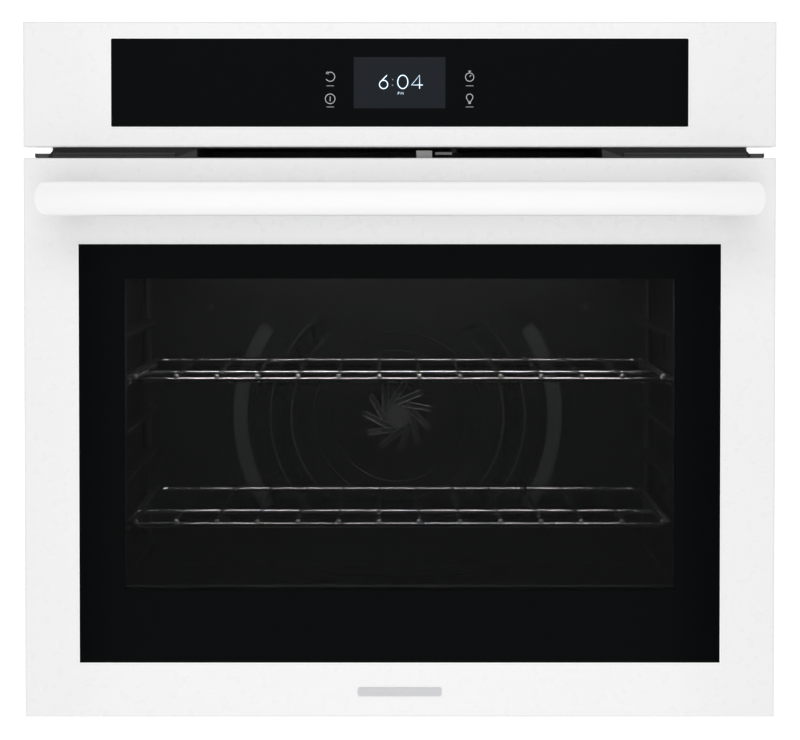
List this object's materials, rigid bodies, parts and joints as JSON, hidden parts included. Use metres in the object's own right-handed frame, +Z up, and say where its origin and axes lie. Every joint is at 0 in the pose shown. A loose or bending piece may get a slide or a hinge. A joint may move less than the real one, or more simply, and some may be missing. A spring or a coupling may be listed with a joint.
{
  "type": "wall oven",
  "caption": "White built-in electric wall oven with black glass window, bar handle, touch control panel, drop-down door, racks, heating elements and fans.",
  "frame": {"origin": "middle of the width, in the cabinet face plane (rear of the front frame flange), at the underside of the chassis", "axes": "+X right seen from the front, -Y towards the cook, +Z up"},
  "size_m": [0.762, 0.704, 0.706],
  "materials": {
    "white_paint": "smooth gloss appliance enamel over steel",
    "handle_white": "gloss white coating",
    "black_glass": "tempered glass with black printed border",
    "control_black": "back-printed black glass",
    "clear_glass": "clear heat-reflecting pane",
    "enamel": "speckled porcelain enamel",
    "galvanised": "spangled zinc coat",
    "dark_steel": "satin black",
    "grey_steel": "satin grey",
    "chrome_wire": "plated wire",
    "element": "oxidised heater sheath",
    "fan_metal": "raw sheet",
    "shaft_steel": "turned",
    "motor": "laminations and varnished coil",
    "wool": "glass fibre blanket",
    "seal": "woven high-temperature seal",
    "black_plastic": "moulded",
    "circuit_board": "soldered board with parts",
    "badge_grey": "satin, blank",
    "lamp_glass": "thick pressed glass",
    "bulb_glass": "frosted",
    "lamp_ceramic": "white socket",
    "zinc": "zinc plated"
  },
  "bodies": {
    "chassis": {"air_duct": "galvanised", "bake_element": "element", "base_panel": "galvanised", "blower_housing": "galvanised", "blower_motor": "motor", "broil_element": "element", "cavity_back": "enamel", "cavity_wrapper": "enamel", "chassis_screws": "zinc", "compartment_shelf": "galvanised", "control_board": "circuit_board", "control_glass": "control_black", "control_panel_trim": "white_paint", "control_tray": "black_plastic", "convection_element": "element", "display_module": "black_plastic", "door_gasket": "seal", "door_switch": "black_plastic", "element_clips": "zinc", "fan_cover": "enamel", "fan_motor": "motor", "front_frame": "enamel", "hinge_arms": "zinc", "hinge_receivers": "zinc", "junction_box": "galvanised", "lamp_bulb": "bulb_glass", "lamp_housing": "lamp_ceramic", "lamp_lens": "lamp_glass", "latch_motor": "motor", "oven_insulation": "wool", "rack_ledges": "enamel", "rear_panel": "galvanised", "relay_board": "circuit_board", "side_panels": "galvanised", "temperature_sensor": "shaft_steel", "terminal_block": "black_plastic", "top_panel": "galvanised", "vent_bars": "grey_steel", "vent_trim": "dark_steel"},
    "door": {"blank_badge": "badge_grey", "door_inner_glasses": "clear_glass", "door_insulation": "wool", "door_liner": "enamel", "door_outer_glass": "black_glass", "door_outer_panel": "white_paint", "door_screws": "zinc", "glass_pack_frame": "dark_steel", "handle_bar": "handle_white", "handle_mounts": "handle_white", "hinge_channels": "zinc", "hinge_pins": "shaft_steel", "hinge_springs": "shaft_steel", "latch_keeper": "zinc"},
    "upper_rack": {"upper_rack": "chrome_wire"},
    "lower_rack": {"lower_rack": "chrome_wire"},
    "convection_fan": {"fan_impeller": "fan_metal", "fan_shaft": "shaft_steel"},
    "cooling_blower": {"blower_wheel": "fan_metal"},
    "latch_hook": {"latch_hook": "zinc"},
    "switch_plunger": {"door_switch_plunger": "black_plastic"}
  },
  "joints": [
    {"name": "door_hinge", "type": "hinge", "parent": "chassis", "child": "door", "pos_m": [0, -0.028, 0.014], "axis": [1, 0, 0], "range_deg": [0, 90], "stiffness_Nm_per_rad": 20, "springref_deg": -17.19},
    {"name": "upper_rack_slide", "type": "slide", "parent": "chassis", "child": "upper_rack", "axis": [0, -1, 0], "range_m": [0, 0.24]},
    {"name": "lower_rack_slide", "type": "slide", "parent": "chassis", "child": "lower_rack", "axis": [0, -1, 0], "range_m": [0, 0.24]},
    {"name": "convection_fan_spin", "type": "hinge", "parent": "chassis", "child": "convection_fan", "pos_m": [0, 0.524, 0.259], "axis": [0, 1, 0], "continuous": true},
    {"name": "cooling_blower_spin", "type": "hinge", "parent": "chassis", "child": "cooling_blower", "pos_m": [0, 0.236, 0.612], "axis": [1, 0, 0], "continuous": true},
    {"name": "latch_hook_turn", "type": "hinge", "parent": "chassis", "child": "latch_hook", "pos_m": [0.056, 0.03, 0.562], "axis": [0, 0, -1], "range_deg": [0, 10]},
    {"name": "door_switch_travel", "type": "slide", "parent": "chassis", "child": "switch_plunger", "axis": [0, -1, 0], "range_m": [0, 0.005]}
  ],
  "couplings": [
    {"joint": "upper_rack_slide", "follows": "door_hinge", "m_per_rad": 0.1527},
    {"joint": "lower_rack_slide", "follows": "door_hinge", "m_per_rad": 0.1527},
    {"joint": "door_switch_travel", "follows": "door_hinge", "m_per_rad": 0.00318}
  ]
}
